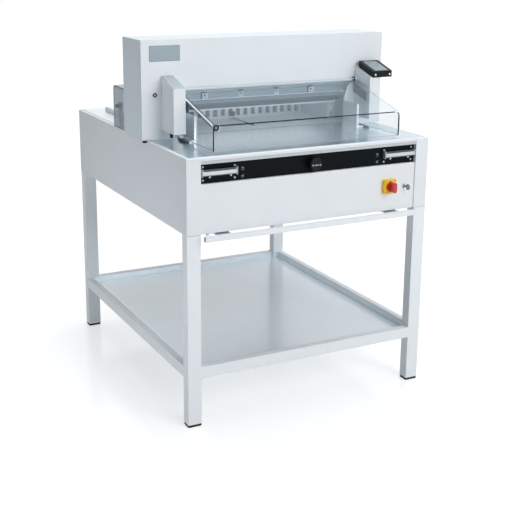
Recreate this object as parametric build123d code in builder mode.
"""Electric paper cutter on a four-legged stand, in millimetres.

+Z is up, -Y is the operator's side, X runs along the knife. The origin is the
middle of the whole machine on the floor.
"""
from math import atan2, cos, degrees, radians, sin

from build123d import *
import os

os.makedirs("parts", exist_ok=True)

# Driving sizes
cutting_width = 650
desk_margin = 155
portal_overhang = 17
desk_depth = 1130
table_height = 950
desk_drop = 262
portal_rise = 350
portal_setback = 348
portal_depth = 180
sheet = 2
running_gap = 0.3
shaft_fit = 0.05
overrun = 5
switch_reach = 41
hex_sides = 6

desk_front_y = (switch_reach - desk_depth) / 2
desk_back_y = desk_front_y + desk_depth
desk_bottom_z = table_height - desk_drop
overall_height = table_height + portal_rise
half_cut = cutting_width / 2
half_desk = half_cut + desk_margin
half_portal = half_desk + portal_overhang
portal_front_y = desk_front_y + portal_setback
portal_back_y = portal_front_y + portal_depth
sides = {"left": -1, "right": 1}


def block(x_ends, y_ends, z_ends, mode=Mode.ADD):
    """A rectangular block between the given ends, in the open part."""
    (x0, x1), (y0, y1), (z0, z1) = sorted(x_ends), sorted(y_ends), sorted(z_ends)
    with Locations(((x0 + x1) / 2, (y0 + y1) / 2, (z0 + z1) / 2)):
        return Box(x1 - x0, y1 - y0, z1 - z0, mode=mode)


def rod(axis, centre, radius, ends, mode=Mode.ADD):
    """A cylinder along X, Y or Z between two ends; centre is its place on the other two axes."""
    start, finish = min(ends), max(ends)
    a, b = centre
    middle = (start + finish) / 2
    place, turn = {
        "x": ((middle, a, b), (0, 90, 0)),
        "y": ((a, middle, b), (90, 0, 0)),
        "z": ((a, b, middle), (0, 0, 0)),
    }[axis]
    with Locations(Location(place, turn)):
        return Cylinder(radius, finish - start, mode=mode)


def save(part, name):
    """Label one finished piece and write it."""
    part.label = name
    export_step(part, f"parts/{name}.step")


def plain_block(x_ends, y_ends, z_ends):
    """One block as a solid of its own, for pieces welded from plates."""
    with BuildPart() as single:
        block(x_ends, y_ends, z_ends)
    return single.part


def save_welded(plates, name):
    """Write a piece whose plates touch and stay separate solids."""
    save(Compound(children=plates), name)


# Stand: four tube legs, their feet, four shelf rails and the sheet tray
leg_x = 50
leg_y = 40
leg_wall = 3
foot_height = 8
foot_plug = 20
rear_leg_inset = 5
rail_thickness = 25
rail_top_z = 217
rail_height = 41
rail_wall = 2
rear_leg_front_y = desk_back_y - rear_leg_inset - leg_y
rear_leg_back_y = desk_back_y - rear_leg_inset
leg_rows = {"front": desk_front_y, "rear": rear_leg_front_y}

for row, y0 in leg_rows.items():
    with BuildPart() as legs:
        for side in (-1, 1):
            block((side * half_desk, side * (half_desk - leg_x)), (y0, y0 + leg_y),
                  (foot_height, desk_bottom_z))
            block((side * (half_desk - leg_wall), side * (half_desk - leg_x + leg_wall)),
                  (y0 + leg_wall, y0 + leg_y - leg_wall),
                  (foot_height - overrun, desk_bottom_z - leg_wall), mode=Mode.SUBTRACT)
    save(legs.part, f"{row}_legs")

foot_round = 4
with BuildPart() as feet:
    for side, y0 in ((side, y0) for side in (-1, 1) for y0 in leg_rows.values()):
        x_mid = side * (half_desk - leg_x / 2)
        y_mid = y0 + leg_y / 2
        with BuildSketch(Plane.XY) as foot_outline:
            with Locations((x_mid, y_mid)):
                RectangleRounded(leg_x, leg_y, foot_round)
        extrude(amount=foot_height)
        plug_x = leg_x / 2 - leg_wall - running_gap
        plug_y = leg_y / 2 - leg_wall - running_gap
        block((x_mid - plug_x, x_mid + plug_x), (y_mid - plug_y, y_mid + plug_y),
              (foot_height, foot_height + foot_plug))
save(feet.part, "leg_feet")

rail_z = (rail_top_z - rail_height, rail_top_z)
rail_bore_z = (rail_z[0] + rail_wall, rail_z[1] - rail_wall)
half_between_legs = half_desk - leg_x
side_rail_y = (desk_front_y + leg_y, rear_leg_front_y)
with BuildPart() as shelf_rails:
    for y_face, inward in ((desk_front_y, 1), (rear_leg_back_y, -1)):
        block((-half_between_legs, half_between_legs), (y_face, y_face + inward * rail_thickness), rail_z)
        block((-half_between_legs - overrun, half_between_legs + overrun),
              (y_face + inward * rail_wall, y_face + inward * (rail_thickness - rail_wall)),
              rail_bore_z, mode=Mode.SUBTRACT)
    for side in (-1, 1):
        block((side * half_desk, side * (half_desk - rail_thickness)), side_rail_y, rail_z)
        block((side * (half_desk - rail_wall), side * (half_desk - rail_thickness + rail_wall)),
              (side_rail_y[0] - overrun, side_rail_y[1] + overrun), rail_bore_z, mode=Mode.SUBTRACT)
save(shelf_rails.part, "shelf_rails")

tray_sheet = 1.5
tray_floor_z = 189
tray_rim_drop = 2
tray_half_x = half_desk - rail_thickness
tray_front_y = desk_front_y + rail_thickness
tray_back_y = rear_leg_back_y - rail_thickness
notch_x = leg_x - rail_thickness
notch_y = leg_y - rail_thickness
with BuildPart() as tray:
    with BuildSketch(Plane.XY.offset(tray_floor_z)) as tray_outline:
        with Locations((0, (tray_front_y + tray_back_y) / 2)):
            Rectangle(2 * tray_half_x, tray_back_y - tray_front_y)
        for side in (-1, 1):
            for y_edge, inward in ((tray_front_y, 1), (tray_back_y, -1)):
                with Locations((side * (tray_half_x - notch_x / 2), y_edge + inward * notch_y / 2)):
                    Rectangle(notch_x, notch_y, mode=Mode.SUBTRACT)
    extrude(amount=rail_top_z - tray_rim_drop - tray_floor_z)
    with BuildSketch(Plane.XY.offset(tray_floor_z + tray_sheet)) as tray_hollow:
        add(tray_outline.sketch.moved(Location((0, 0, tray_sheet))))
        offset(amount=-tray_sheet, kind=Kind.INTERSECTION, mode=Mode.REPLACE)
    extrude(amount=rail_top_z, mode=Mode.SUBTRACT)
save(tray.part, "shelf_tray")

# Base frame inside the desk: two long beams on the legs and three cross beams
casing_side = half_desk - sheet
beam_width = 70
beam_height = 50
beam_wall = 4
beam_z = (desk_bottom_z + sheet, desk_bottom_z + sheet + beam_height)
beam_bore_z = (beam_z[0] + beam_wall, beam_z[1] - beam_wall)
beam_inner_x = casing_side - beam_width
beam_y = (desk_front_y + rail_thickness, desk_back_y - sheet)
cross_beam_depth = 60
front_beam_setback = 60
middle_beam_setback = 352
rear_beam_inset = 130
frame_beams = []
for side in (-1, 1):
    with BuildPart() as long_beam:
        block((side * casing_side, side * beam_inner_x), beam_y, beam_z)
        block((side * (casing_side - beam_wall), side * (beam_inner_x + beam_wall)),
              (beam_y[0] - overrun, beam_y[1] + overrun), beam_bore_z, mode=Mode.SUBTRACT)
    frame_beams.append(long_beam.part)
for setback in (front_beam_setback, middle_beam_setback, desk_depth - rear_beam_inset):
    y0 = desk_front_y + setback
    with BuildPart() as cross_tube:
        block((-beam_inner_x, beam_inner_x), (y0, y0 + cross_beam_depth), beam_z)
        block((-beam_inner_x - overrun, beam_inner_x + overrun),
              (y0 + beam_wall, y0 + cross_beam_depth - beam_wall), beam_bore_z, mode=Mode.SUBTRACT)
    frame_beams.append(cross_tube.part)
save_welded(frame_beams, "base_frame")

# Machine bed: the ribbed casting under the tables, open along the gauge spindle
plate = 10
plate_z = (table_height - plate, table_height)
bed_height = 40
bed_wall = 8
bed_margin = 115
bed_half_x = half_cut + bed_margin
bed_front_setback = 40
bed_back_inset = 30
bed_y = (desk_front_y + bed_front_setback, desk_back_y - bed_back_inset)
bed_z = (plate_z[0] - bed_height, plate_z[0])
gauge_slot_half = 8
slot_front_setback = 470
slot_back_inset = 88
slot_back_setback = desk_depth - slot_back_inset
spindle_trough_half = 45
rod_slot_width = 48
rod_slot_x = (bed_half_x - rod_slot_width, bed_half_x)
rod_slot_setbacks = (368, 394)
rod_slot_y = tuple(desk_front_y + setback for setback in rod_slot_setbacks)
bed_rib_setbacks = (330, 720)
post_width = 30
front_post_setback = 110
rear_post_inset = 200
gauge_spindle_drop = 32
gauge_spindle_z = table_height - gauge_spindle_drop
journal_radius = 7
journal_length = 9
trough_front_y = desk_front_y + slot_front_setback - spindle_trough_half
deck_z = (bed_z[1] - bed_wall, bed_z[1])
rib_z = (bed_z[0], deck_z[0])
rib_edges = [bed_front_setback] + list(bed_rib_setbacks) + [desk_depth - bed_back_inset]
with BuildPart() as bed_nose:
    block((-spindle_trough_half, spindle_trough_half), (bed_y[0], trough_front_y), bed_z)
    rod("y", (0, gauge_spindle_z), journal_radius + shaft_fit,
        (trough_front_y - journal_length - running_gap, trough_front_y), mode=Mode.SUBTRACT)
bed_plates = [
    bed_nose.part,
    plain_block((-bed_half_x, -spindle_trough_half), bed_y, deck_z),
    plain_block((spindle_trough_half, rod_slot_x[0]), bed_y, deck_z),
    plain_block(rod_slot_x, (bed_y[0], rod_slot_y[0]), deck_z),
    plain_block(rod_slot_x, (rod_slot_y[1], bed_y[1]), deck_z),
    plain_block((-bed_half_x, -bed_half_x + bed_wall), bed_y, rib_z),
    plain_block((bed_half_x - bed_wall, bed_half_x), (bed_y[0], rod_slot_y[0]), rib_z),
    plain_block((bed_half_x - bed_wall, bed_half_x), (rod_slot_y[1], bed_y[1]), rib_z),
]
for side in (-1, 1):
    trough_wall_x = (side * spindle_trough_half, side * (spindle_trough_half + bed_wall))
    bed_plates.append(plain_block(trough_wall_x, bed_y, rib_z))
    rib_x = (side * (spindle_trough_half + bed_wall), side * (bed_half_x - bed_wall))
    for setback in rib_edges:
        y0 = desk_front_y + setback
        near = y0 if setback == rib_edges[0] else y0 - bed_wall
        far = y0 if setback == rib_edges[-1] else y0 + bed_wall
        bed_plates.append(plain_block(rib_x, (near, far), rib_z))
    for setback in (front_post_setback, desk_depth - rear_post_inset):
        y0 = desk_front_y + setback
        bed_plates.append(plain_block((side * beam_inner_x, side * (beam_inner_x + post_width)),
                                      (y0, y0 + post_width), (beam_z[1], bed_z[0])))
save_welded(bed_plates, "machine_bed")

# Tables and the plastic cutting stick between them
table_side_inset = 14
table_front_inset = 4
stick_front_setback = 388
stick_width = 14
stick_overhang = 55
portal_clear = 2
half_table = half_desk - table_side_inset
stick_y = (desk_front_y + stick_front_setback, desk_front_y + stick_front_setback + stick_width)
stick_half = half_cut + stick_overhang
portal_edge_y = portal_front_y - portal_clear
save_welded([
    plain_block((-half_table, half_table), (desk_front_y + table_front_inset, portal_edge_y), plate_z),
    plain_block((-bed_half_x, rod_slot_x[0]), (portal_edge_y, stick_y[0]), plate_z),
    plain_block(rod_slot_x, (portal_edge_y, rod_slot_y[0]), plate_z),
], "front_table")

rear_table_inset = 4
with BuildPart() as rear_table:
    block((-half_table, half_table), (portal_back_y + portal_clear, desk_back_y - rear_table_inset), plate_z)
    block((-bed_half_x, bed_half_x), (stick_y[1], portal_back_y + portal_clear), plate_z)
    block((-gauge_slot_half, gauge_slot_half),
          (desk_front_y + slot_front_setback, desk_front_y + slot_back_setback),
          (plate_z[0] - overrun, plate_z[1] + overrun), mode=Mode.SUBTRACT)
save(rear_table.part, "rear_table")

with BuildPart() as cutting_stick:
    block((-stick_half, stick_half), stick_y, plate_z)
save(cutting_stick.part, "cutting_stick")

# Desk casing: folded side panels with pillar faces, rear panel, front panel, control strip, front edge
pillar_width = 52
pillar_return = 23
flange = 14
lip_drop = 13
lip_bottom_z = table_height - lip_drop
casing_top_z = table_height - sheet
for name, side in sides.items():
    with BuildPart() as side_panel:
        block((side * half_desk, side * casing_side), (desk_front_y, desk_back_y),
              (desk_bottom_z, lip_bottom_z))
        block((side * half_desk, side * casing_side), (desk_front_y + table_front_inset, desk_back_y),
              (lip_bottom_z, casing_top_z))
        block((side * half_desk, side * (half_desk - pillar_width)), (desk_front_y, desk_front_y + sheet),
              (desk_bottom_z, lip_bottom_z))
        block((side * (half_desk - pillar_width), side * (half_desk - pillar_width + sheet)),
              (desk_front_y, desk_front_y + pillar_return), (desk_bottom_z, lip_bottom_z))
        block((side * half_desk, side * (half_desk - flange)),
              (desk_front_y + table_front_inset, desk_back_y), (casing_top_z - sheet, casing_top_z))
        block((side * half_desk, side * (half_desk - leg_x)), (desk_front_y, desk_back_y),
              (desk_bottom_z, desk_bottom_z + sheet))
        block((side * half_desk, side * (half_desk - pillar_width)), (desk_back_y - sheet, desk_back_y),
              (desk_bottom_z, casing_top_z))
    save(side_panel.part, f"side_panel_{name}")

pillar_inner = half_desk - pillar_width
panel_gap = 0.5
inlet_inset = 180
inlet_x = inlet_inset - half_desk
inlet_lift = 82
inlet_z = desk_bottom_z + inlet_lift
inlet_half_x = 24
inlet_half_z = 14
with BuildPart() as rear_panel:
    block((-pillar_inner + panel_gap, pillar_inner - panel_gap), (desk_back_y - sheet, desk_back_y),
          (desk_bottom_z, casing_top_z))
    block((-pillar_inner + panel_gap, pillar_inner - panel_gap),
          (desk_back_y - rear_table_inset, desk_back_y), (casing_top_z - sheet, casing_top_z))
    block((inlet_x - inlet_half_x, inlet_x + inlet_half_x), (desk_back_y - flange, desk_back_y + overrun),
          (inlet_z - inlet_half_z, inlet_z + inlet_half_z), mode=Mode.SUBTRACT)
save(rear_panel.part, "rear_panel")

strip_drops = (92, 25)
strip_bottom_z = table_height - strip_drops[0]
strip_top_z = table_height - strip_drops[1]
strip_recess = 15
front_recess = 5
switch_inset = 165.5
switch_lift = 92.5
switch_x = half_desk - switch_inset
switch_z = desk_bottom_z + switch_lift
switch_half = 25.5
switch_depth = 15
switch_shaft_radius = 5
lock_inset = 91
lock_lift = 84
lock_x = half_desk - lock_inset
lock_z = desk_bottom_z + lock_lift
lock_radius = 9.5
front_panel_y = (desk_front_y + front_recess, desk_front_y + front_recess + sheet)
strip_y = (desk_front_y + strip_recess, desk_front_y + strip_recess + sheet)
with BuildPart() as front_panel:
    block((-pillar_inner, pillar_inner), front_panel_y, (desk_bottom_z, strip_bottom_z))
    block((-pillar_inner, pillar_inner), (front_panel_y[0], strip_y[1]),
          (strip_bottom_z - sheet, strip_bottom_z))
    rod("y", (switch_x, switch_z), switch_shaft_radius + running_gap,
        (front_panel_y[0] - overrun, front_panel_y[1] + overrun), mode=Mode.SUBTRACT)
    rod("y", (lock_x, lock_z), lock_radius, (front_panel_y[0] - overrun, front_panel_y[1] + overrun),
        mode=Mode.SUBTRACT)
save(front_panel.part, "front_panel")

knob_radius = 22.5
knob_x = 0
knob_z = (strip_bottom_z + strip_top_z) / 2
knob_reach = 32
knob_shaft_radius = 5
with BuildPart() as control_strip:
    block((-pillar_inner, pillar_inner), strip_y, (strip_bottom_z, strip_top_z))
    rod("y", (knob_x, knob_z), knob_shaft_radius + shaft_fit, (strip_y[0] - overrun, strip_y[1] + overrun),
        mode=Mode.SUBTRACT)
save(control_strip.part, "control_strip")

edge_step = 3
edge_bevel = 3.5
edge_drop = 1
with BuildPart() as front_edge:
    block((-half_desk, half_desk), (desk_front_y, desk_front_y + table_front_inset),
          (lip_bottom_z, table_height - edge_drop))
    chamfer(front_edge.edges().filter_by(Axis.X).group_by(Axis.Z)[-1].sort_by(Axis.Y)[0], edge_bevel)
    block((-pillar_inner, pillar_inner), (desk_front_y + edge_step, desk_front_y + bed_front_setback),
          (strip_top_z, plate_z[0]))
save(front_edge.part, "table_front_edge")

# Controls on the front: knob, two hand bars in ears, main switch, key lock
knob_face_y = desk_front_y + strip_recess - knob_reach
knob_round = 3
knob_finger_count = 24
knob_groove_radius = 1.5
knob_groove_length = 20
knob_shaft_length = 20
with BuildPart() as adjust_knob:
    rod("y", (knob_x, knob_z), knob_radius, (knob_face_y, strip_y[0] - running_gap))
    fillet(adjust_knob.edges().sort_by(Axis.Y)[0], knob_round)
    for turn in range(knob_finger_count):
        angle = radians(turn * 360 / knob_finger_count)
        rod("y", (knob_x + knob_radius * sin(angle), knob_z + knob_radius * cos(angle)), knob_groove_radius,
            (knob_face_y + knob_round, knob_face_y + knob_round + knob_groove_length), mode=Mode.SUBTRACT)
    rod("y", (knob_x, knob_z), knob_shaft_radius, (strip_y[0] - running_gap, strip_y[1] + knob_shaft_length))
save(adjust_knob.part, "adjust_knob")

bar_insets = (182, 59)
bar_inner_x = half_desk - bar_insets[0]
bar_outer_x = half_desk - bar_insets[1]
bar_height = 22
bar_thickness = 9
bar_drop = 55
bar_z = table_height - bar_drop
bar_back_gap = 7
ear_thickness = 4
ear_side_gap = 1
bar_pin_radius = 2.5
ear_height = 28
ear_reach = 16
bar_pivot_y = strip_y[0] - bar_back_gap - bar_thickness / 2
bar_pivot_z = bar_z + bar_height / 2 - bar_pin_radius - ear_side_gap
bar_round = 3
bar_y = (strip_y[0] - bar_back_gap - bar_thickness, strip_y[0] - bar_back_gap)
bar_rib = 1.5
bar_rib_height = 6
for name, side in sides.items():
    with BuildPart() as hand_bar:
        block((side * bar_inner_x, side * bar_outer_x), bar_y,
              (bar_z - bar_height / 2, bar_z + bar_height / 2))
        fillet(hand_bar.edges().filter_by(Axis.X), bar_round)
        block((side * (bar_inner_x + bar_round), side * (bar_outer_x - bar_round)),
              (bar_y[0] - bar_rib, bar_y[0] + bar_rib), (bar_z - bar_rib_height, bar_z))
        rod("x", (bar_pivot_y, bar_pivot_z), bar_pin_radius,
            (side * (bar_inner_x - ear_side_gap - ear_thickness),
             side * (bar_outer_x + ear_side_gap + ear_thickness)))
    save(hand_bar.part, f"hand_bar_{name}")

with BuildPart() as ears:
    for side in (-1, 1):
        for x_near in (bar_inner_x - ear_side_gap - ear_thickness, bar_outer_x + ear_side_gap):
            block((side * x_near, side * (x_near + ear_thickness)), (strip_y[0] - ear_reach, strip_y[0]),
                  (bar_z - ear_height / 2, bar_z + ear_height / 2))
        rod("x", (bar_pivot_y, bar_pivot_z), bar_pin_radius + shaft_fit,
            (side * (bar_inner_x - ear_height), side * (bar_outer_x + ear_height)), mode=Mode.SUBTRACT)
save(ears.part, "hand_bar_ears")

plate_round = 5
switch_y = (front_panel_y[0] - switch_depth, front_panel_y[0])
with BuildPart() as switch_plate:
    with BuildSketch(Plane.XZ.offset(-switch_y[1])) as switch_outline:
        with Locations((switch_x, switch_z)):
            RectangleRounded(2 * switch_half, 2 * switch_half, plate_round)
    extrude(amount=switch_depth)
    rod("y", (switch_x, switch_z), switch_shaft_radius + shaft_fit,
        (switch_y[0] - overrun, switch_y[1] + overrun), mode=Mode.SUBTRACT)
save(switch_plate.part, "main_switch_plate")

handle_disc_radius = 16
handle_disc = 8
handle_grip_half_x = 8
handle_grip_half_z = 19
handle_y = (desk_front_y - switch_reach, switch_y[0] - running_gap)
switch_box_half = 20
switch_box_depth = 45
with BuildPart() as switch_handle:
    rod("y", (switch_x, switch_z), handle_disc_radius, (handle_y[1] - handle_disc, handle_y[1]))
    with BuildSketch(Plane.XZ.offset(-handle_y[1])) as grip_outline:
        with Locations((switch_x, switch_z)):
            SlotOverall(2 * handle_grip_half_z, 2 * handle_grip_half_x, rotation=90)
    extrude(amount=handle_y[1] - handle_y[0])
    rod("y", (switch_x, switch_z), switch_shaft_radius,
        (handle_y[1], front_panel_y[1] + switch_box_depth / 2))
save(switch_handle.part, "main_switch_handle")

encoder_half = 22
encoder_depth = 22
with BuildPart() as switch_bodies:
    block((switch_x - switch_box_half, switch_x + switch_box_half),
          (front_panel_y[1], front_panel_y[1] + switch_box_depth),
          (switch_z - switch_box_half, switch_z + switch_box_half))
    rod("y", (switch_x, switch_z), switch_shaft_radius + shaft_fit,
        (front_panel_y[0], front_panel_y[1] + switch_box_depth / 2 + running_gap), mode=Mode.SUBTRACT)
    block((knob_x - encoder_half, knob_x + encoder_half), (strip_y[1], strip_y[1] + encoder_depth),
          (knob_z - encoder_half, knob_z + encoder_half))
    rod("y", (knob_x, knob_z), knob_shaft_radius + shaft_fit,
        (strip_y[0], strip_y[1] + encoder_depth + overrun), mode=Mode.SUBTRACT)
save(switch_bodies.part, "switch_bodies")

lock_rim_radius = 12
lock_rim = 3
lock_floor = 5
key_end_inset = 10
key_stem_radius = 4
lock_depth = 26
key_thickness = 2.4
key_stem = 7
bow_half_x = 9
bow_height = 22
bow_hole_radius = 3.5
lock_y = (front_panel_y[0] - lock_rim, front_panel_y[0] - lock_rim + lock_depth)
with BuildPart() as lock_barrel:
    rod("y", (lock_x, lock_z), lock_radius, lock_y)
    rod("y", (lock_x, lock_z), lock_rim_radius, (lock_y[0], front_panel_y[0]))
    rod("y", (lock_x, lock_z), key_stem_radius + shaft_fit, (lock_y[0] - overrun, lock_y[1] - lock_floor),
        mode=Mode.SUBTRACT)
save(lock_barrel.part, "lock_barrel")

bow_centre_y = lock_y[0] - key_stem - bow_half_x
with BuildPart() as lock_key:
    rod("y", (lock_x, lock_z), key_stem_radius, (lock_y[0] - key_stem, lock_y[1] - key_end_inset))
    with BuildSketch(Plane.YZ.offset(lock_x - key_thickness / 2)) as bow_outline:
        with Locations((bow_centre_y, lock_z)):
            Ellipse(bow_half_x + key_stem_radius / 2, bow_height / 2)
            Circle(bow_hole_radius, mode=Mode.SUBTRACT)
    extrude(amount=key_thickness)
save(lock_key.part, "lock_key")

# Press bar under the front edge, on a cross shaft in two ears
press_inset = 55
press_half_x = half_desk - press_inset
press_tube_reaches = (30, 14)
press_tube_y = tuple(desk_front_y - reach for reach in press_tube_reaches)
press_tube_drops = (20, 2)
press_tube_z = tuple(desk_bottom_z - drop for drop in press_tube_drops)
press_wall = 2
press_arm_insets = (165, 115)
press_arm_x = tuple(half_desk - inset for inset in press_arm_insets)
press_arm_thickness = 6
press_shaft_radius = 7
press_shaft_setback = 74
press_shaft_y = desk_front_y + press_shaft_setback
press_shaft_z = (press_tube_z[0] + press_tube_z[1]) / 2
press_eye_radius = 11
press_ear_insets = (108, 100)
press_ear_x = tuple(half_desk - inset for inset in press_ear_insets)
press_ear_half_y = 13
press_shaft_half_x = press_ear_x[1] + press_shaft_radius
with BuildPart() as press_bar:
    block((-press_half_x, press_half_x), press_tube_y, press_tube_z)
    block((-press_half_x - overrun, press_half_x + overrun),
          (press_tube_y[0] + press_wall, press_tube_y[1] - press_wall),
          (press_tube_z[0] + press_wall, press_tube_z[1] - press_wall), mode=Mode.SUBTRACT)
    for side in (-1, 1):
        arm_x = (side * press_arm_x[0], side * press_arm_x[1])
        block(arm_x, (press_tube_y[1], press_shaft_y),
              (press_shaft_z - press_arm_thickness / 2, press_shaft_z + press_arm_thickness / 2))
        rod("x", (press_shaft_y, press_shaft_z), press_eye_radius, arm_x)
        rod("x", (press_shaft_y, press_shaft_z), press_shaft_radius,
            (side * (press_arm_x[0] - overrun), side * (press_arm_x[1] + overrun)), mode=Mode.SUBTRACT)
save(press_bar.part, "press_bar")

with BuildPart() as press_shaft:
    rod("x", (press_shaft_y, press_shaft_z), press_shaft_radius, (-press_shaft_half_x, press_shaft_half_x))
save(press_shaft.part, "press_bar_shaft")

with BuildPart() as press_ears:
    for side in (-1, 1):
        block((side * press_ear_x[0], side * press_ear_x[1]),
              (press_shaft_y - press_ear_half_y, press_shaft_y + press_ear_half_y),
              (press_shaft_z - press_ear_half_y, beam_z[0]))
    rod("x", (press_shaft_y, press_shaft_z), press_shaft_radius + shaft_fit, (-press_half_x, press_half_x),
        mode=Mode.SUBTRACT)
save(press_ears.part, "press_bar_ears")

# Portal: two thick cheeks on the base beams and a box beam between them
cheek_thickness = 25
cheek_front_setback = 365
cheek_depth = 150
cheek_top_drop = 10
cheek_top_z = overall_height - cheek_top_drop
cheek_x = (bed_half_x, bed_half_x + cheek_thickness)
cheek_y = (desk_front_y + cheek_front_setback, desk_front_y + cheek_front_setback + cheek_depth)
spacer_height = 24
spacer_half_depth = 40
spacer_lift = 50
spacer_drop = 70
spacer_zs = (table_height + spacer_lift, overall_height - spacer_drop)
with BuildPart() as cheeks:
    for side in (-1, 1):
        block((side * cheek_x[0], side * cheek_x[1]), cheek_y, (beam_z[1], cheek_top_z))
        for spacer_z in spacer_zs:
            block((side * cheek_x[1], side * (half_portal - sheet)),
                  (sum(cheek_y) / 2 - spacer_half_depth, sum(cheek_y) / 2 + spacer_half_depth),
                  (spacer_z, spacer_z + spacer_height))
save(cheeks.part, "portal_cheeks")

cross_front_setback = 412
cross_depth = 90
cross_wall = 12
cross_lift_shares = (0.5429, 0.76)
cross_z = tuple(table_height + share * portal_rise for share in cross_lift_shares)
cross_y = (desk_front_y + cross_front_setback, desk_front_y + cross_front_setback + cross_depth)
clamp_spindle_radius = 10
clamp_setback = 412
clamp_depth = 40
clamp_spindle_y = desk_front_y + clamp_setback + clamp_depth / 2
guide_insets = (85, 61)
guide_xs = (-half_cut + guide_insets[0], half_cut - guide_insets[1])
guide_width = 20
guide_length = 34
guide_lift = 26
guide_z = cross_z[0] + guide_lift
guide_front_setback = 381
knife_side_travel = 24
knife_drop_share = 0.2563
knife_drop = portal_rise * knife_drop_share
slant = degrees(atan2(knife_side_travel, knife_drop))
with BuildPart() as cross_beam:
    block((-bed_half_x, bed_half_x), cross_y, cross_z)
    block((-bed_half_x - overrun, bed_half_x + overrun), (cross_y[0] + cross_wall, cross_y[1] - cross_wall),
          (cross_z[0] + cross_wall, cross_z[1] - cross_wall), mode=Mode.SUBTRACT)
    rod("z", (0, clamp_spindle_y), clamp_spindle_radius + shaft_fit,
        (cross_z[0] - overrun, cross_z[1] + overrun), mode=Mode.SUBTRACT)
    with BuildSketch(Plane.XZ.offset(-cross_y[0])) as guide_outline:
        for x0 in guide_xs:
            with Locations(Location((x0, guide_z, 0), (0, 0, slant))):
                Rectangle(guide_width, guide_length)
    extrude(amount=cross_y[0] - desk_front_y - guide_front_setback)
save(cross_beam.part, "portal_cross_beam")

# Knife carrier: a stepped bar that slides down and to the right on two slanted guide blocks
carrier_margin = 27
carrier_lift_share = 0.3171
carrier_half_x = half_cut + carrier_margin
carrier_bottom_z = table_height + portal_rise * carrier_lift_share
carrier_top_z = cheek_top_z
carrier_back_setback = 396
carrier_front_setback = 360
guide_gap = 0.1
end_slant = 34
blade_edge_z = table_height + knife_drop + running_gap
blade_top_share = 0.4629
blade_top_z = table_height + portal_rise * blade_top_share
blade_thickness = 12
blade_margin = 20
blade_half_x = half_cut + blade_margin
blade_bevel = 10
pull_rod_inset = 36
lug_margin = 10
lug_top_drop = 38
lug_height = 32
lug_depth = 16
pull_rod_x = bed_half_x - pull_rod_inset
lug_inner_x = half_cut + lug_depth
lug_x = pull_rod_x + lug_margin
lug_z = (overall_height - lug_top_drop - lug_height, overall_height - lug_top_drop)
pull_rod_setback = 387.5
pull_rod_y = desk_front_y + pull_rod_setback
pull_rod_radius = 6
knife_screw_shares = (-0.7692, -0.3169, 0.1354, 0.5877)
knife_screw_xs = [share * half_cut for share in knife_screw_shares]
knife_screw_lift_share = 0.4143
knife_screw_z = table_height + portal_rise * knife_screw_lift_share
knife_screw_radius = 5
knife_screw_head = 9
screw_head_height = 7
screw_seat = 9
screw_head_gap = 1
screw_end_inset = 5
edge_flat = 0.4
carrier_y = (desk_front_y + carrier_front_setback, desk_front_y + carrier_back_setback)
step_lift_shares = (0.5086, 0.4743, 0.44, 0.3743)
step_depths = (20, 14, 9, 4)
carrier_cut = carrier_y[1] - carrier_y[0] + 2 * overrun
knife_travel = (knife_drop ** 2 + knife_side_travel ** 2) ** 0.5
with BuildPart() as carrier:
    block((-carrier_half_x, carrier_half_x), (carrier_y[0], carrier_y[1]), (carrier_bottom_z, carrier_top_z))
    for share, depth in zip(step_lift_shares, step_depths):
        block((-carrier_half_x - overrun, carrier_half_x + overrun),
              (carrier_y[0] - overrun, carrier_y[0] + depth),
              (table_height + share * portal_rise, carrier_top_z + overrun), mode=Mode.SUBTRACT)
    for side in (-1, 1):
        with BuildSketch(Plane.XZ.offset(-carrier_y[0] + overrun)) as end_cut:
            with BuildLine() as end_line:
                Polyline((side * (carrier_half_x + overrun), carrier_bottom_z - overrun),
                         (side * (carrier_half_x - end_slant), carrier_bottom_z - overrun),
                         (side * (carrier_half_x + overrun), carrier_bottom_z + end_slant),
                         close=True)
            make_face()
        extrude(amount=-carrier_cut, mode=Mode.SUBTRACT)
    block((lug_inner_x, lug_x), (carrier_y[1] - lug_depth, carrier_y[1]), lug_z)
    with BuildSketch(Plane.XZ.offset(-carrier_y[0] + overrun)) as guide_slots:
        for x0 in guide_xs:
            slot_middle = (x0 - knife_side_travel / 2, guide_z + knife_drop / 2, 0)
            with Locations(Location(slot_middle, (0, 0, slant))):
                Rectangle(guide_width + 2 * guide_gap, guide_length + 2 * guide_gap + knife_travel)
    extrude(amount=-carrier_cut, mode=Mode.SUBTRACT)
    rod("z", (pull_rod_x, pull_rod_y), pull_rod_radius, (lug_z[0] - overrun, lug_z[1] + overrun),
        mode=Mode.SUBTRACT)
    for x0 in knife_screw_xs:
        rod("y", (x0, knife_screw_z), knife_screw_radius, (carrier_y[0] - overrun, carrier_y[1] + overrun),
            mode=Mode.SUBTRACT)
        rod("y", (x0, knife_screw_z), knife_screw_head + screw_head_gap,
            (carrier_y[0] - overrun, carrier_y[0] + screw_seat), mode=Mode.SUBTRACT)
save(carrier.part, "knife_carrier")

blade_y = (carrier_y[1], carrier_y[1] + blade_thickness)
with BuildPart() as blade:
    with BuildSketch(Plane.YZ.offset(-blade_half_x)) as blade_outline:
        with BuildLine() as blade_line:
            Polyline((blade_y[0], blade_top_z), (blade_y[1], blade_top_z), (blade_y[1], blade_edge_z),
                     (blade_y[1] - edge_flat, blade_edge_z), (blade_y[0], blade_edge_z + blade_bevel),
                     close=True)
        make_face()
    extrude(amount=2 * blade_half_x)
    for x0 in knife_screw_xs:
        rod("y", (x0, knife_screw_z), knife_screw_radius,
            (blade_y[0] - overrun, blade_y[1] - screw_end_inset), mode=Mode.SUBTRACT)
save(blade.part, "knife_blade")

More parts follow.
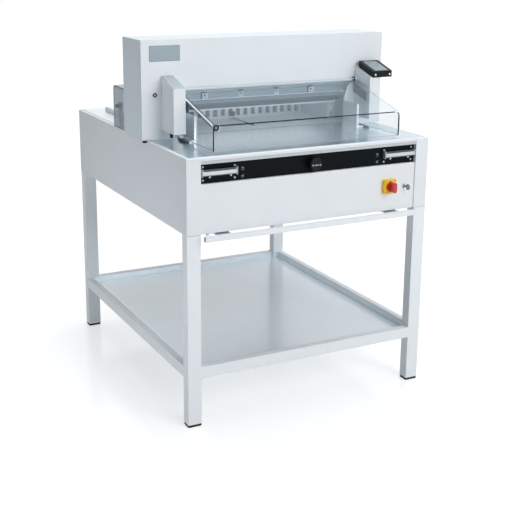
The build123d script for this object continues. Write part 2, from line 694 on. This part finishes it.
with BuildPart() as knife_screws:
    for x0 in knife_screw_xs:
        rod("y", (x0, knife_screw_z), knife_screw_radius,
            (carrier_y[0] + screw_seat, blade_y[1] - screw_end_inset))
        rod("y", (x0, knife_screw_z), knife_screw_head,
            (carrier_y[0] + screw_seat - screw_head_height, carrier_y[0] + screw_seat))
save(knife_screws.part, "knife_screws")

# Knife drive: pull rod beside the throat, crank disc with its pin, gear motor on the middle cross beam
nut_radius = 11
nut_height = 9
crank_lift = 72
crank_z = beam_z[1] + crank_lift
crank_throw = 45
crank_radius = 55
crank_insets = (26, 14)
crank_x = tuple(pull_rod_x - inset for inset in crank_insets)
crank_pin_radius = 6
pull_eye = 12
pull_rod_top = lug_z[1] + 2 * nut_height
eye_z = crank_z + crank_throw
with BuildPart() as pull_rod:
    rod("z", (pull_rod_x, pull_rod_y), pull_rod_radius, (eye_z, pull_rod_top))
    block((pull_rod_x - pull_rod_radius, pull_rod_x + pull_rod_radius),
          (pull_rod_y - pull_eye, pull_rod_y + pull_eye), (eye_z - pull_eye, eye_z + pull_eye))
    rod("x", (pull_rod_y, eye_z), crank_pin_radius, (pull_rod_x - pull_eye, pull_rod_x + pull_eye),
        mode=Mode.SUBTRACT)
    for nut_bottom in (lug_z[0] - nut_height, lug_z[1]):
        with BuildSketch(Plane.XY.offset(nut_bottom)) as nut_outline:
            with Locations((pull_rod_x, pull_rod_y)):
                RegularPolygon(nut_radius, hex_sides)
        extrude(amount=nut_height)
save(pull_rod.part, "knife_pull_rod")

gearbox_length = 88
gearbox_x = (crank_x[0] - gearbox_length, crank_x[0] - running_gap)
gearbox_half_y = 45
gearbox_height = 140
gearbox_top_z = beam_z[1] + gearbox_height
gearbox_bore_depth = 40
crank_shaft_radius = 12
motor_radius = 44
motor_length = 165
motor_lift = 60
motor_z = beam_z[1] + motor_lift
pin_end_x = pull_rod_x - pull_rod_radius - running_gap
with BuildPart() as crank:
    rod("x", (pull_rod_y, crank_z), crank_radius, crank_x)
    rod("x", (pull_rod_y, crank_z + crank_throw), crank_pin_radius, (crank_x[1], pin_end_x))
    rod("x", (pull_rod_y, crank_z), crank_shaft_radius, (gearbox_x[1] - gearbox_bore_depth, crank_x[0]))
save(crank.part, "knife_crank")

with BuildPart() as gear_motor:
    block(gearbox_x, (pull_rod_y - gearbox_half_y, pull_rod_y + gearbox_half_y), (beam_z[1], gearbox_top_z))
    rod("x", (pull_rod_y, motor_z), motor_radius, (gearbox_x[0] - motor_length, gearbox_x[0]))
    rod("x", (pull_rod_y, crank_z), crank_shaft_radius + shaft_fit,
        (gearbox_x[1] - gearbox_bore_depth - running_gap, gearbox_x[1] + overrun), mode=Mode.SUBTRACT)
save(gear_motor.part, "knife_gear_motor")

# Clamp: the pressing beam behind the knife, its spindle and its motor on the cross beam
clamp_lift_share = 0.2314
clamp_bottom_z = table_height + portal_rise * clamp_lift_share
clamp_top_gap = 2
clamp_half_x = half_cut + sheet
clamp_toe = 6
clamp_spindle_lift = 2
clamp_motor_radius = 25
clamp_motor_height = 66
clamp_top_z = cross_z[0] - clamp_top_gap
clamp_y = (desk_front_y + clamp_setback, desk_front_y + clamp_setback + clamp_depth)
clamp_toe_height = 30
with BuildPart() as clamp:
    block((-clamp_half_x, clamp_half_x), clamp_y, (clamp_bottom_z, clamp_top_z))
    block((-clamp_half_x, clamp_half_x), (clamp_y[1], clamp_y[1] + clamp_toe),
          (clamp_bottom_z, clamp_bottom_z + clamp_toe_height))
    rod("z", (0, clamp_spindle_y), clamp_spindle_radius + shaft_fit,
        (clamp_bottom_z + clamp_spindle_lift, clamp_top_z + overrun), mode=Mode.SUBTRACT)
save(clamp.part, "clamp_beam")

with BuildPart() as clamp_spindle:
    rod("z", (0, clamp_spindle_y), clamp_spindle_radius,
        (clamp_bottom_z + clamp_spindle_lift + running_gap, cross_z[1] + clamp_motor_height / 2))
save(clamp_spindle.part, "clamp_spindle")

with BuildPart() as clamp_motor:
    rod("z", (0, clamp_spindle_y), clamp_motor_radius, (cross_z[1], cross_z[1] + clamp_motor_height))
    rod("z", (0, clamp_spindle_y), clamp_spindle_radius + shaft_fit,
        (cross_z[1] - overrun, cross_z[1] + clamp_motor_height / 2 + running_gap), mode=Mode.SUBTRACT)
save(clamp_motor.part, "clamp_motor")

# Back gauge: a comb face on a carriage that a spindle moves along the slot
gauge_face_setback = 665
gauge_face_depth = 12
gauge_height = 75
gauge_back_depth = 20
comb_pitch = 33.5
comb_slot = 18
comb_margin_z = 8
gauge_back_margin_z = 5
carriage_half_x = 36
carriage_depth = 60
carriage_height = 34
carriage_round = 10
nut_half = 22
nut_drop = 16
nut_length = 38
gauge_spindle_radius = 10
gauge_lift = 0.3
gauge_y = (desk_front_y + gauge_face_setback, desk_front_y + gauge_face_setback + gauge_face_depth)
gauge_z = (table_height + gauge_lift, table_height + gauge_height)
comb_count = int(cutting_width // comb_pitch)
with BuildPart() as back_gauge:
    block((-half_cut, half_cut), gauge_y, gauge_z)
    with GridLocations(comb_pitch, 0, comb_count, 1):
        with Locations((0, sum(gauge_y) / 2, sum(gauge_z) / 2)):
            Box(comb_slot, gauge_face_depth, gauge_z[1] - gauge_z[0] - 2 * comb_margin_z, mode=Mode.SUBTRACT)
    block((-half_cut, half_cut), (gauge_y[1], gauge_y[1] + gauge_back_depth),
          (gauge_z[0] + gauge_back_margin_z, gauge_z[1] - gauge_back_margin_z))
save(back_gauge.part, "back_gauge")

carriage_y = (gauge_y[1] + gauge_back_depth, gauge_y[1] + gauge_back_depth + carriage_depth)
nut_y = (carriage_y[0], carriage_y[0] + nut_length)
neck_half = gauge_slot_half - running_gap
with BuildPart() as carriage:
    block((-carriage_half_x, carriage_half_x), carriage_y, (gauge_z[0], gauge_z[0] + carriage_height))
    fillet(carriage.edges().filter_by(Axis.Z).group_by(Axis.Y)[-1], carriage_round)
    block((-neck_half, neck_half), nut_y, (gauge_spindle_z, gauge_z[0] + carriage_height))
    block((-nut_half, nut_half), nut_y, (gauge_spindle_z - nut_drop, plate_z[0] - running_gap))
    rod("y", (0, gauge_spindle_z), gauge_spindle_radius + shaft_fit,
        (nut_y[0] - overrun, nut_y[1] + overrun), mode=Mode.SUBTRACT)
save(carriage.part, "gauge_carriage")

gauge_motor_length = 50
gauge_motor_half = 21
gauge_motor_inset = 5
gauge_motor_y = (bed_y[1] - gauge_motor_length - gauge_motor_inset, bed_y[1] - gauge_motor_inset)
with BuildPart() as gauge_spindle:
    rod("y", (0, gauge_spindle_z), gauge_spindle_radius,
        (trough_front_y + running_gap, gauge_motor_y[0] - running_gap))
    rod("y", (0, gauge_spindle_z), journal_radius,
        (trough_front_y - journal_length, trough_front_y + running_gap))
    rod("y", (0, gauge_spindle_z), journal_radius, (gauge_motor_y[0] - running_gap, sum(gauge_motor_y) / 2))
save(gauge_spindle.part, "gauge_spindle")

with BuildPart() as gauge_motor:
    block((-gauge_motor_half, gauge_motor_half), gauge_motor_y,
          (plate_z[0] - 2 * gauge_motor_half, plate_z[0]))
    block((-spindle_trough_half, spindle_trough_half), (gauge_motor_y[0], gauge_motor_y[0] + bed_wall),
          (plate_z[0] - 2 * gauge_motor_half, plate_z[0]))
    rod("y", (0, gauge_spindle_z), journal_radius + shaft_fit,
        (gauge_motor_y[0] - overrun, sum(gauge_motor_y) / 2 + running_gap), mode=Mode.SUBTRACT)
save(gauge_motor.part, "gauge_motor")

# Side lays: angles in front of the knife, straight walls and low rails behind it
lay_margin = 6
lay_inner_x = half_cut + lay_margin
lay_thickness = 9
lay_height = 92
lay_foot_width = 32
lay_foot_x = lay_inner_x + lay_foot_width
lay_foot_height = 7
lay_front_setback = 252
lay_back_setback = 352
rear_lay_thickness = 7
rear_lay_height = 75
rear_lay_setback = 464
rear_lay_inset = 230
rail_margins = (63, 75)
rail_x = tuple(half_cut + margin for margin in rail_margins)
rail_low_height = 20
rail_setback = 532
rail_inset = 105
with BuildPart() as side_lays:
    for side in (-1, 1):
        lay_y = (desk_front_y + lay_front_setback, desk_front_y + lay_back_setback)
        block((side * lay_inner_x, side * (lay_inner_x + lay_thickness)), lay_y,
              (table_height, table_height + lay_height))
        block((side * lay_inner_x, side * lay_foot_x), lay_y, (table_height, table_height + lay_foot_height))
save(side_lays.part, "side_lays")

with BuildPart() as rear_lays:
    for side in (-1, 1):
        block((side * lay_inner_x, side * (lay_inner_x + rear_lay_thickness)),
              (desk_front_y + rear_lay_setback, desk_back_y - rear_lay_inset),
              (table_height, table_height + rear_lay_height))
        block((side * rail_x[0], side * rail_x[1]),
              (desk_front_y + rail_setback, desk_back_y - rail_inset),
              (table_height, table_height + rail_low_height))
save(rear_lays.part, "rear_side_lays")

# Portal covers: front with the throat returns, rear, and one folded sheet over both sides and the top
throat_margin = 55
throat_lift_share = 0.5257
return_depth = 78
return_lift = 65
rear_throat_margin = 75
rear_throat_lift_share = 0.4857
throat_half_x = half_cut + throat_margin
throat_top_z = table_height + portal_rise * throat_lift_share
return_bottom_z = table_height + return_lift
rear_throat_half_x = half_cut + rear_throat_margin
rear_throat_top_z = table_height + portal_rise * rear_throat_lift_share
cover_screw_radius = 8.5
cover_screw_height = 5
cover_screw_inset = 49
cover_screw_lift = 159
cover_screw_x = half_portal - cover_screw_inset
cover_screw_z = table_height + cover_screw_lift
front_cover_y = (portal_front_y, portal_front_y + sheet)
rear_cover_y = (portal_back_y - sheet, portal_back_y)
with BuildPart() as front_cover:
    block((-half_portal, half_portal), front_cover_y, (table_height, overall_height))
    block((-throat_half_x, throat_half_x), (front_cover_y[0] - overrun, front_cover_y[1] + overrun),
          (table_height - overrun, throat_top_z), mode=Mode.SUBTRACT)
    for side in (-1, 1):
        block((side * throat_half_x, side * (throat_half_x + sheet)),
              (front_cover_y[0], front_cover_y[1] + return_depth), (return_bottom_z, throat_top_z))
save(front_cover.part, "portal_front_cover")

with BuildPart() as rear_cover:
    block((-half_portal, half_portal), rear_cover_y, (table_height, overall_height))
    block((-rear_throat_half_x, rear_throat_half_x), (rear_cover_y[0] - overrun, rear_cover_y[1] + overrun),
          (table_height - overrun, rear_throat_top_z), mode=Mode.SUBTRACT)
save(rear_cover.part, "portal_rear_cover")

with BuildPart() as shell_cover:
    block((-half_portal, half_portal), (front_cover_y[1], rear_cover_y[0]), (table_height, overall_height))
    block((-half_portal + sheet, half_portal - sheet),
          (front_cover_y[0] - overrun, rear_cover_y[1] + overrun),
          (table_height - overrun, overall_height - sheet), mode=Mode.SUBTRACT)
save(shell_cover.part, "portal_shell_cover")

label_insets = (32, 145)
label_drops = (74, 21)
label_x = tuple(inset - half_portal for inset in label_insets)
label_z = tuple(overall_height - drop for drop in label_drops)
label_thickness = 1
with BuildPart() as label_plate:
    block(label_x, (portal_front_y - label_thickness, portal_front_y), label_z)
save(label_plate.part, "label_plate")

# Guard columns, the hinged front guard on its rod, and the rubber buffers under its sides
column_margins = (52, 97)
column_front_setback = 239
column_lifts = (33, 192)
column_x = tuple(half_cut + margin for margin in column_margins)
column_bottom_z = table_height + column_lifts[0]
column_front_top_z = table_height + column_lifts[1]
display_slope_share = 0.30
column_wall = 2.5
guard_pivot_setback = 334
guard_pivot_lift = 174
guard_pivot_y = desk_front_y + guard_pivot_setback
guard_pivot_z = table_height + guard_pivot_lift
guard_rod_radius = 6
guard_side_gap = 6
guard_half_x = column_x[0] - guard_side_gap
guard_wall = 4.5
guard_front_setback = 28
guard_bend_lift = 94
guard_bottom_lift = 8
guard_bend_z = table_height + guard_bend_lift
guard_bottom_z = table_height + guard_bottom_lift
guard_back_setback = 316
guard_side_back_setback = 262
guard_bend_radius = 10
column_front_y = desk_front_y + column_front_setback
column_rise = (portal_front_y - column_front_y) * display_slope_share
with BuildPart() as columns:
    for side in (-1, 1):
        x_low, x_high = sorted((side * column_x[0], side * column_x[1]))
        for inset, mode in ((0, Mode.ADD), (column_wall, Mode.SUBTRACT)):
            with BuildSketch(Plane.YZ.offset(x_low + inset)) as column_outline:
                with BuildLine() as column_line:
                    Polyline((column_front_y + inset, column_bottom_z + inset),
                             (column_front_y + inset, column_front_top_z - inset),
                             (portal_front_y - inset, column_front_top_z + column_rise - inset),
                             (portal_front_y - inset, column_bottom_z + inset), close=True)
                make_face()
            extrude(amount=x_high - x_low - 2 * inset, mode=mode)
        rod("x", (guard_pivot_y, guard_pivot_z), guard_rod_radius + shaft_fit,
            (side * (column_x[0] - overrun), side * (column_x[0] + overrun)), mode=Mode.SUBTRACT)
save(columns.part, "guard_columns")

with BuildPart() as guard_rod:
    rod("x", (guard_pivot_y, guard_pivot_z), guard_rod_radius,
        (-column_x[0] - column_wall, column_x[0] + column_wall))
save(guard_rod.part, "guard_hinge_rod")

guard_front_y = desk_front_y + guard_front_setback
guard_back_y = desk_front_y + guard_back_setback
guard_side_back_y = desk_front_y + guard_side_back_setback
guard_slope_share = (guard_pivot_z - guard_bend_z) / (guard_pivot_y - guard_front_y)
guard_back_z = guard_bend_z + (guard_back_y - guard_front_y) * guard_slope_share
with BuildPart() as front_guard:
    with BuildSketch(Plane.YZ.offset(-guard_half_x)) as guard_outline:
        with BuildLine() as guard_line:
            Polyline((guard_front_y, guard_bottom_z), (guard_front_y, guard_bend_z),
                     (guard_back_y, guard_back_z), (guard_side_back_y, guard_bottom_z), close=True)
        make_face()
    extrude(amount=2 * guard_half_x)
    fillet(front_guard.edges().filter_by(Axis.X).group_by(Axis.Y)[0].sort_by(Axis.Z)[-1], guard_bend_radius)
    slope_edges = front_guard.faces().sort_by(Axis.Z)[-1].edges().filter_by(Axis.X, reverse=True)
    fillet(slope_edges, guard_bend_radius)
    inner_front = guard_front_y + guard_wall
    inner_bend_z = guard_bend_z - guard_wall
    with BuildSketch(Plane.YZ.offset(-guard_half_x + guard_wall)) as guard_hollow:
        with BuildLine() as hollow_line:
            Polyline((inner_front, guard_bottom_z - overrun), (inner_front, inner_bend_z),
                     (guard_back_y + overrun, guard_back_z - guard_wall + overrun * guard_slope_share),
                     (portal_front_y, guard_back_z - guard_wall),
                     (portal_front_y, guard_bottom_z - overrun), close=True)
        make_face()
    extrude(amount=2 * (guard_half_x - guard_wall), mode=Mode.SUBTRACT)
save(front_guard.part, "front_guard")

arm_thickness = 4
arm_outer_x = guard_half_x - guard_wall
arm_end_setback = 244
arm_height = 30
arm_top_drop = 16
arm_eye_radius = 12
arm_end_y = desk_front_y + arm_end_setback
arm_end_drop = (guard_pivot_y - arm_end_y) * guard_slope_share
with BuildPart() as guard_arms:
    for side in (-1, 1):
        x_low = min(side * arm_outer_x, side * (arm_outer_x - arm_thickness))
        with BuildSketch(Plane.YZ.offset(x_low)) as arm_outline:
            with BuildLine() as arm_line:
                Polyline((guard_pivot_y, guard_pivot_z - arm_top_drop / 2),
                         (guard_pivot_y, guard_pivot_z - arm_top_drop - arm_height),
                         (arm_end_y, guard_pivot_z - arm_end_drop - arm_top_drop - arm_height),
                         (arm_end_y, guard_pivot_z - arm_end_drop - arm_top_drop), close=True)
            make_face()
            with Locations((guard_pivot_y, guard_pivot_z)):
                Circle(arm_eye_radius)
                Circle(guard_rod_radius, mode=Mode.SUBTRACT)
        extrude(amount=arm_thickness)
save(guard_arms.part, "guard_arms")

buffer_reaches = (7, 9)
buffer_x = (guard_half_x - buffer_reaches[0], guard_half_x + buffer_reaches[1])
buffer_setbacks = (240, 300)
with BuildPart() as buffers:
    for side in (-1, 1):
        block((side * buffer_x[0], side * buffer_x[1]),
              (desk_front_y + buffer_setbacks[0], desk_front_y + buffer_setbacks[1]),
              (table_height, guard_bottom_z - running_gap))
save(buffers.part, "guard_buffers")

# Display on the right column, its underside on the column's sloping top
display_reaches = (9, 96)
display_x = tuple(column_x[0] + reach for reach in display_reaches)
display_setbacks = (236, 336)
display_thickness = 23
display_round = 3
screen_side_insets = (12, 16)
screen_end_insets = (5, 10)
screen_thickness = 1.2
display_y = (desk_front_y + display_setbacks[0], desk_front_y + display_setbacks[1])


def on_slope(y):
    """Height of the columns' sloping top at a depth y."""
    return column_front_top_z + (y - column_front_y) * display_slope_share


with BuildPart() as display:
    with BuildSketch(Plane.YZ.offset(display_x[0])) as display_outline:
        with BuildLine() as display_line:
            Polyline((display_y[0], on_slope(display_y[0])),
                     (display_y[0], on_slope(display_y[0]) + display_thickness),
                     (display_y[1], on_slope(display_y[1]) + display_thickness),
                     (display_y[1], on_slope(display_y[1])), close=True)
        make_face()
    extrude(amount=display_x[1] - display_x[0])
    fillet(display.edges().filter_by(Axis.Z), display_round)
save(display.part, "display_housing")

with BuildPart() as screen:
    with BuildSketch(Plane.YZ.offset(display_x[0] + screen_side_insets[0])) as screen_outline:
        with BuildLine() as screen_line:
            screen_y = (display_y[0] + screen_end_insets[0], display_y[1] - screen_end_insets[1])
            Polyline((screen_y[0], on_slope(screen_y[0]) + display_thickness),
                     (screen_y[0], on_slope(screen_y[0]) + display_thickness + screen_thickness),
                     (screen_y[1], on_slope(screen_y[1]) + display_thickness + screen_thickness),
                     (screen_y[1], on_slope(screen_y[1]) + display_thickness), close=True)
        make_face()
    extrude(amount=display_x[1] - display_x[0] - sum(screen_side_insets))
save(screen.part, "display_screen")

# Clear rear guard behind the portal, on two brackets with thumbscrews
rear_guard_half_x = casing_side
rear_guard_wall = 4
rear_guard_lift = 154
rear_guard_top_z = table_height + rear_guard_lift
rear_guard_length = 168
rear_bend_radius = 8
bracket_thickness = 7
bracket_x = (rear_guard_half_x - rear_guard_wall - bracket_thickness, rear_guard_half_x - rear_guard_wall)
bracket_setbacks = (625, 651)
bracket_lift = 96
bracket_top_z = table_height + bracket_lift
thumb_setback = 638
thumb_lift = 83
thumb_z = table_height + thumb_lift
thumb_radius = 3
thumb_head_radius = 8
thumb_head = 10
rear_guard_y = (portal_back_y, portal_back_y + rear_guard_length)
with BuildPart() as rear_guard:
    block((-rear_guard_half_x, rear_guard_half_x), rear_guard_y, (casing_top_z, rear_guard_top_z))
    fillet(rear_guard.edges().filter_by(Axis.Y).group_by(Axis.Z)[-1], rear_bend_radius)
    block((-rear_guard_half_x + rear_guard_wall, rear_guard_half_x - rear_guard_wall),
          (rear_guard_y[0] - overrun, rear_guard_y[1] + overrun),
          (casing_top_z - overrun, rear_guard_top_z - rear_guard_wall), mode=Mode.SUBTRACT)
    rod("x", (desk_front_y + thumb_setback, thumb_z), thumb_radius,
        (-rear_guard_half_x - overrun, rear_guard_half_x + overrun), mode=Mode.SUBTRACT)
save(rear_guard.part, "rear_guard")

with BuildPart() as brackets:
    for side in (-1, 1):
        block((side * bracket_x[0], side * bracket_x[1]),
              (desk_front_y + bracket_setbacks[0], desk_front_y + bracket_setbacks[1]),
              (casing_top_z, bracket_top_z))
    rod("x", (desk_front_y + thumb_setback, thumb_z), thumb_radius,
        (-half_desk, half_desk), mode=Mode.SUBTRACT)
save(brackets.part, "rear_guard_brackets")

with BuildPart() as screws:
    for side in (-1, 1):
        rod("x", (desk_front_y + thumb_setback, thumb_z), thumb_radius,
            (side * bracket_x[0], side * rear_guard_half_x))
        rod("x", (desk_front_y + thumb_setback, thumb_z), thumb_head_radius,
            (side * rear_guard_half_x, side * (rear_guard_half_x + thumb_head)))
        with BuildSketch(Plane.XZ.offset(-portal_front_y)) as hex_outline:
            with Locations((side * cover_screw_x, cover_screw_z)):
                RegularPolygon(cover_screw_radius, hex_sides)
        extrude(amount=cover_screw_height)
save(screws.part, "cover_screws")

# Control box with the mains inlet in the rear panel
control_insets = (100, 330)
control_x = tuple(inset - half_desk for inset in control_insets)
control_depth = 190
control_height = 150
control_y = (desk_back_y - sheet - control_depth, desk_back_y - sheet)
with BuildPart() as control_box:
    block(control_x, (control_y[0], control_y[1]), (beam_z[1], beam_z[1] + control_height))
    block((inlet_x - inlet_half_x, inlet_x + inlet_half_x), (control_y[1], desk_back_y),
          (inlet_z - inlet_half_z, inlet_z + inlet_half_z))
    for pin_shift in (-1, 0, 1):
        pin_x = inlet_x + pin_shift * inlet_half_z
        block((pin_x - sheet / 2, pin_x + sheet / 2), (desk_back_y - flange, desk_back_y + overrun),
              (inlet_z - overrun, inlet_z + overrun), mode=Mode.SUBTRACT)
save(control_box.part, "control_box")
